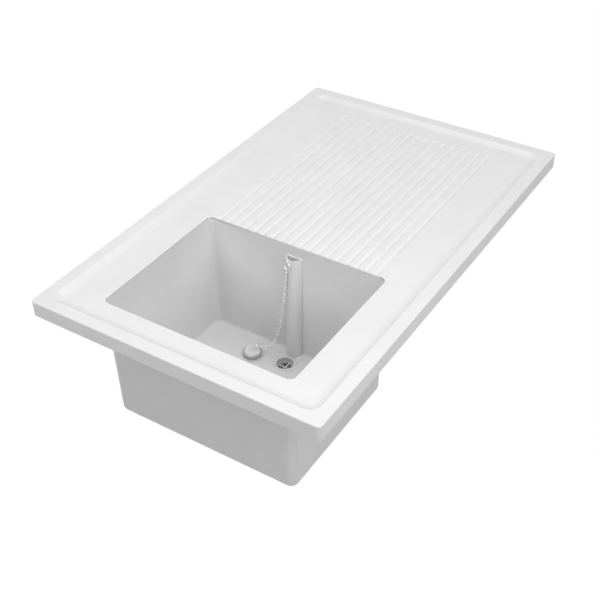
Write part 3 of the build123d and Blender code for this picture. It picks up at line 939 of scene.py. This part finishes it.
def ring_piece(name, node, wire, body, joint_angle):
    """A round wire ring in a CAD ring's place, closed by a fine butt joint."""
    joint_half = 2.4
    pinch = (0.9, 0.9, 0.78)
    middle, axes, half = placed_by(coordinates_of(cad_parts[node]))
    radius = float(half[:2].max()) - wire
    bpy.ops.object.select_all(action="DESELECT")
    bpy.ops.mesh.primitive_torus_add(
        major_radius=radius, minor_radius=wire, major_segments=72, minor_segments=14
    )
    piece = start_piece(name)
    points = coordinates_of(piece)
    turn = np.degrees(np.arctan2(points[:, 1], points[:, 0]))
    select_points(piece, np.abs((turn - joint_angle + 180) % 360 - 180) < joint_half)
    bpy.ops.object.mode_set(mode="EDIT")
    bpy.ops.mesh.select_mode(type="VERT")
    spot = math.radians(joint_angle)
    joint = (radius * math.cos(spot), radius * math.sin(spot), 0)
    bpy.ops.transform.resize(value=pinch, center_override=joint)
    done()
    piece.data.transform(frame_matrix(middle, axes[0], axes[1]))
    smoothed(piece, WIRE_SMOOTH)
    finished(piece, "steel", body)
    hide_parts(node)


class SINK_OT_chain(bpy.types.Operator):
    """Chain of welded links with its two upper rings"""

    bl_idname = "sink.chain"
    bl_label = "Chain and rings"

    def execute(self, context):
        sizes = context.scene.sink_fittings
        link = self.build_link(sizes.link_wire)
        places = [placed_by(points)[:2] for points in loose_parts(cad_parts["plug_chain"])]
        places.sort(key=lambda place: -place[0][2])
        links = []
        for middle, axes in places:
            one = link.copy()
            one.data = link.data.copy()
            bpy.context.scene.collection.objects.link(one)
            one.data.transform(frame_matrix(middle, axes[0], axes[1]))
            links.append(one)
        bpy.data.objects.remove(link)
        chain = links[0]
        only(chain)
        for one in links:
            one.select_set(True)
        bpy.ops.object.join()
        chain.name = "link_chain"
        chain.data.name = "link_chain"
        smoothed(chain, WIRE_SMOOTH)
        finished(chain, "steel")
        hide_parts("plug_chain")
        ring_piece("chain_top_ring", "chain_ring", sizes.ring_wire, "unit", joint_angle=20.0)
        ring_piece("duct_stay_ring", "stay_ring", sizes.stay_wire, "unit", joint_angle=-60.0)
        self.blend_chain(chain, places[0][0], places[-1][0])
        return {"FINISHED"}

    def blend_chain(self, chain, highest, lowest):
        """Bakes the chain's placing into its mesh."""
        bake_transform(chain)

    def build_link(self, wire):
        """One link: a ring drawn out to an oval, with its weld on one side."""
        length = 0.016
        width = 0.008
        weld_swell = 1.09
        bend = width / 2 - wire
        stretch = length / 2 - wire - bend
        weld_half = stretch * 0.3
        fine_half = stretch * 1.3
        bpy.ops.object.select_all(action="DESELECT")
        bpy.ops.mesh.primitive_torus_add(
            major_radius=bend, minor_radius=wire, major_segments=26, minor_segments=10
        )
        piece = start_piece("chain_link")
        for side in (-1, 1):
            select_points(piece, coordinates_of(piece)[:, 0] * side > 0)
            bpy.ops.object.mode_set(mode="EDIT")
            bpy.ops.mesh.select_mode(type="VERT")
            bpy.ops.transform.translate(value=(side * stretch, 0, 0))
            done()
        points = coordinates_of(piece)
        select_points(piece, (np.abs(points[:, 0]) < fine_half) & (points[:, 1] > 0))
        bpy.ops.object.mode_set(mode="EDIT")
        bpy.ops.mesh.subdivide(number_cuts=4)
        done()
        points = coordinates_of(piece)
        weld = (np.abs(points[:, 0]) < weld_half) & (points[:, 1] > 0)
        swell = np.where(weld, weld_swell, 1.0)
        points[:, 1] = bend * weld + (points[:, 1] - bend * weld) * swell
        points[:, 2] *= swell
        set_coordinates(piece, points)
        return piece


# Stage


class SINK_OT_stage(bpy.types.Operator):
    """Pale floor, soft lights, white background and camera"""

    bl_idname = "sink.stage"
    bl_label = "Stage"

    def execute(self, context):
        settings = context.scene.sink_stage
        self.build_floor(cad_box[0].z)
        self.build_world()
        # Name, power, place, the point aimed at and the side of the square
        lights = (
            ("Ceiling", settings.ceiling_power, (0.0, 0.0, 2.4), (0.0, 0.0, 0.0), 5.0),
            ("Overhead", settings.overhead_power, (0.0, 0.0, 3.0), (0.0, 0.0, 0.0), 3.0),
            ("Key", settings.key_power, (-0.6, -0.5, 1.6), (-0.5, -0.3, 0.0), 1.6),
            ("End", settings.end_power, (-3.0, 0.5, 1.2), (-0.4, 0.0, -0.1), 1.0),
            ("Corner", settings.corner_power, (-1.0, -2.4, 1.7), (-0.3, -0.1, -0.1), 1.0),
            ("Front", settings.front_power, (-0.3, -3.0, 1.05), (-0.1, -0.2, -0.1), 0.8),
            ("Back", settings.back_power, (2.6, 2.4, 1.3), (0.2, 0.1, -0.1), 2.0),
        )
        for light in lights:
            self.add_light(*light)
        self.add_camera(settings)
        context.scene.view_settings.view_transform = "Standard"
        return {"FINISHED"}

    def build_floor(self, level):
        """A large pale floor, white where it is seen but for the object's soft shadow."""
        colour = (0.46, 0.46, 0.46)
        shade = (0.43, 0.43, 0.43)
        white = 1.06
        white_share = 0.93
        bpy.ops.object.select_all(action="DESELECT")
        bpy.ops.mesh.primitive_plane_add(size=24.0, location=(0, 0, level))
        floor = start_piece("pale_floor")
        material, tree, surface = new_material("Pale floor")
        surface.inputs["Roughness"].default_value = 0.9
        surface.inputs["Specular IOR Level"].default_value = 0.0
        cloud = add_noise(tree, coordinates(tree), 3.0)
        tree.links.new(tinted(tree, cloud, colour, shade), surface.inputs["Base Color"])
        glow = tree.nodes.new("ShaderNodeEmission")
        glow.inputs["Color"].default_value = (1, 1, 1, 1)
        glow.inputs["Strength"].default_value = white
        share = tree.nodes.new("ShaderNodeMath")
        share.operation = "MULTIPLY"
        share.inputs[1].default_value = white_share
        tree.links.new(self.seen_directly(tree), share.inputs[0])
        mix = tree.nodes.new("ShaderNodeMixShader")
        tree.links.new(share.outputs["Value"], mix.inputs["Fac"])
        tree.links.new(surface.outputs["BSDF"], mix.inputs[1])
        tree.links.new(glow.outputs["Emission"], mix.inputs[2])
        tree.links.new(mix.outputs["Shader"], tree.nodes["Material Output"].inputs["Surface"])
        floor.data.materials.append(material)

    def seen_directly(self, tree):
        """Whether a ray comes from the camera, a reflection or a transmission."""
        path = tree.nodes.new("ShaderNodeLightPath")
        seen = path.outputs["Is Camera Ray"]
        for name in ("Is Glossy Ray", "Is Transmission Ray"):
            either = tree.nodes.new("ShaderNodeMath")
            either.operation = "MAXIMUM"
            tree.links.new(seen, either.inputs[0])
            tree.links.new(path.outputs[name], either.inputs[1])
            seen = either.outputs["Value"]
        return seen

    def build_world(self):
        """A background that is white where it is seen and adds no light of its own."""
        world = bpy.data.worlds.new("White surround")
        bpy.context.scene.world = world
        world.use_nodes = True
        tree = world.node_tree
        white = tree.nodes["Background"]
        white.inputs["Color"].default_value = (1, 1, 1, 1)
        tree.links.new(self.seen_directly(tree), white.inputs["Strength"])

    def add_light(self, name, power, place, aim, size):
        """One large soft light aimed at a point."""
        light = bpy.data.lights.new(name, "AREA")
        light.shape = "SQUARE"
        light.size = size
        light.energy = power
        lamp = bpy.data.objects.new(name, light)
        bpy.context.scene.collection.objects.link(lamp)
        lamp.visible_camera = False
        lamp.location = place
        lamp.rotation_euler = (Vector(aim) - Vector(place)).to_track_quat("-Z", "Y").to_euler()

    def add_camera(self, settings):
        """The camera at the photograph's viewing angle."""
        place = (-1.8094, -1.1051, 1.4551)
        look = Vector((0.66221, 0.42458, -0.61742))
        right = Vector((0.53374, -0.8456, -0.00903))
        data = bpy.data.cameras.new("Camera")
        data.lens = settings.lens
        data.sensor_width = 36.0
        camera = bpy.data.objects.new("Camera", data)
        bpy.context.scene.collection.objects.link(camera)
        turn = Matrix((right, right.cross(look), -look)).transposed().to_4x4()
        camera.matrix_world = Matrix.Translation(place) @ turn
        bpy.context.scene.camera = camera


# Panel and registration


class SINK_PT_panel(bpy.types.Panel):
    """The sink unit's sizes, colours and steps"""

    bl_idname = "SINK_PT_panel"
    bl_label = "Sink unit"
    bl_space_type = "VIEW_3D"
    bl_region_type = "UI"
    bl_category = "Sink Unit"

    def draw(self, context):
        scene = context.scene
        for group in (scene.sink_unit, scene.sink_fittings, scene.sink_finishes, scene.sink_stage):
            box = self.layout.box()
            for name in group.bl_rna.properties.keys():
                if name not in ("rna_type", "name"):
                    box.prop(group, name)
        for operator in OPERATORS:
            self.layout.operator(operator.bl_idname)


GROUPS = {
    "sink_unit": UnitSizes,
    "sink_fittings": FittingSizes,
    "sink_finishes": Finishes,
    "sink_stage": StageSettings,
}
OPERATORS = (
    SINK_OT_shells, SINK_OT_welds, SINK_OT_waste, SINK_OT_plug, SINK_OT_chain, SINK_OT_stage,
)
CLASSES = (*GROUPS.values(), *OPERATORS, SINK_PT_panel)


def register():
    """Registers the classes and hangs the groups of sizes on the scene."""
    for one in CLASSES:
        bpy.utils.register_class(one)
    for name, group in GROUPS.items():
        setattr(bpy.types.Scene, name, PointerProperty(type=group))


def unregister():
    """Takes the groups off the scene and the classes out again."""
    for name in GROUPS:
        delattr(bpy.types.Scene, name)
    for one in reversed(CLASSES):
        bpy.utils.unregister_class(one)


def main():
    """Builds every piece in order."""
    register()
    bpy.ops.sink.shells()
    bpy.ops.sink.welds()
    bpy.ops.sink.waste()
    bpy.ops.sink.plug()
    bpy.ops.sink.chain()
    bpy.ops.sink.stage()
    bpy.ops.object.select_all(action="DESELECT")


if __name__ == "__main__":
    main()
